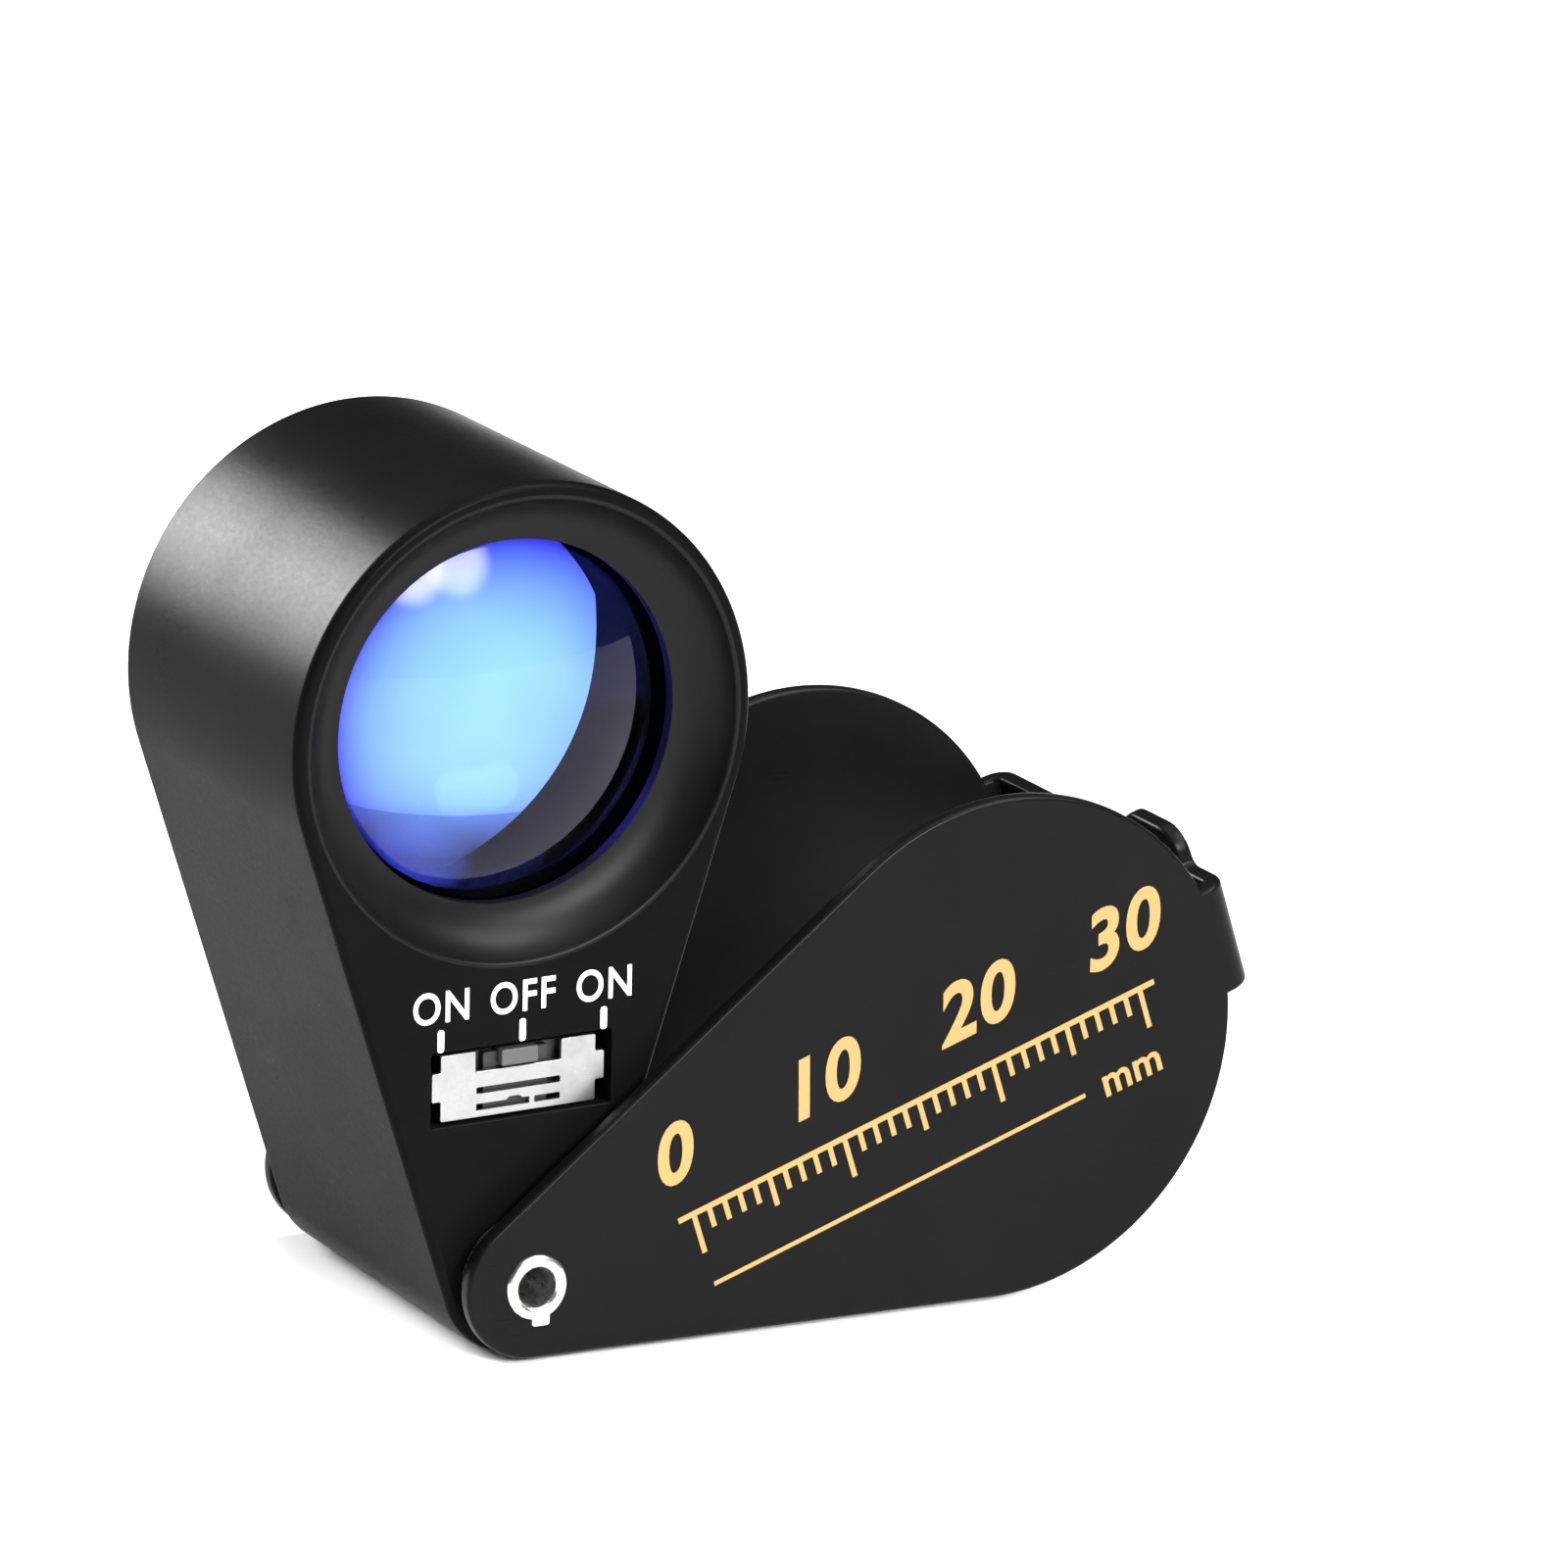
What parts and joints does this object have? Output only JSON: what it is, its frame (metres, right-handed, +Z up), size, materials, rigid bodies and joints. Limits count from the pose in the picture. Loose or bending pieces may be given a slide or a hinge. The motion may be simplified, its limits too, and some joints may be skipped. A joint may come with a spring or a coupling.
{
  "type": "folding jewelers loupe",
  "caption": "Folding pocket magnifier: a deep teardrop lens barrel with a slide switch and light ring, turning on a tubular rivet inside a bent sheet cover.",
  "frame": {"origin": "on the pivot rivet's axis, half way between the two cover plates", "axes": "+Z up, +X along the cover plates' lower edges from the pivot to the web, +Y along the optical axis away from the user's eye"},
  "size_m": [0.0616, 0.0262, 0.0497],
  "materials": {
    "cover_lacquer": "smooth satin black lacquer",
    "barrel_anodise": "black anodised, fine satin grain",
    "bezel_black": "black anodised, turned",
    "bright_plate": "bright nickel plate",
    "switch_steel": "bright tinned sheet",
    "screw_steel": "plain bright steel",
    "cell_steel": "polished cell can",
    "bushing_brass": "turned brass",
    "lens_glass": "polished, blue coating",
    "window_clear": "clear moulded plastic",
    "inner_plastic": "black moulded plastic",
    "knob_plastic": "dark grey moulded plastic",
    "circuit_board": "green solder mask",
    "chip_white": "pale phosphor and ceramic",
    "chip_violet": "violet lens resin",
    "wire_insulation": "red insulation"
  },
  "bodies": {
    "cover": {"folding_cover": "cover_lacquer", "pivot_rivet": "bright_plate", "front_washer": "screw_steel", "rear_washer": "screw_steel"},
    "barrel": {"barrel_housing": "barrel_anodise", "rear_plate": "barrel_anodise", "pivot_bushing": "bushing_brass", "eyepiece_bezel": "bezel_black", "lens_tube": "bezel_black", "locating_sleeve": "inner_plastic", "eye_lens": "lens_glass", "crown_lens": "lens_glass", "field_lens": "lens_glass", "lens_retainer": "bezel_black", "light_board": "circuit_board", "white_light_chips": "chip_white", "violet_light_chips": "chip_violet", "light_window": "window_clear", "battery_holder": "inner_plastic", "button_cells": "cell_steel", "floor_contact": "switch_steel", "hatch_contact": "switch_steel", "battery_hatch": "barrel_anodise", "hatch_screw": "screw_steel", "control_board": "circuit_board", "resistors": "chip_white", "light_wires": "wire_insulation", "switch_frame": "switch_steel", "switch_base": "inner_plastic", "switch_pins": "switch_steel"},
    "slider": {"switch_slider": "knob_plastic"}
  },
  "joints": [
    {"name": "barrel_pivot", "type": "hinge", "parent": "cover", "child": "barrel", "pos_m": [0, 0, 0], "axis": [0, -1, 0], "range_deg": [-72.07, 287.93]},
    {"name": "switch_slide", "type": "slide", "parent": "barrel", "child": "slider", "axis": [0.9995, 0, 0.0314], "range_m": [-0.0014, 0.0014]}
  ]
}
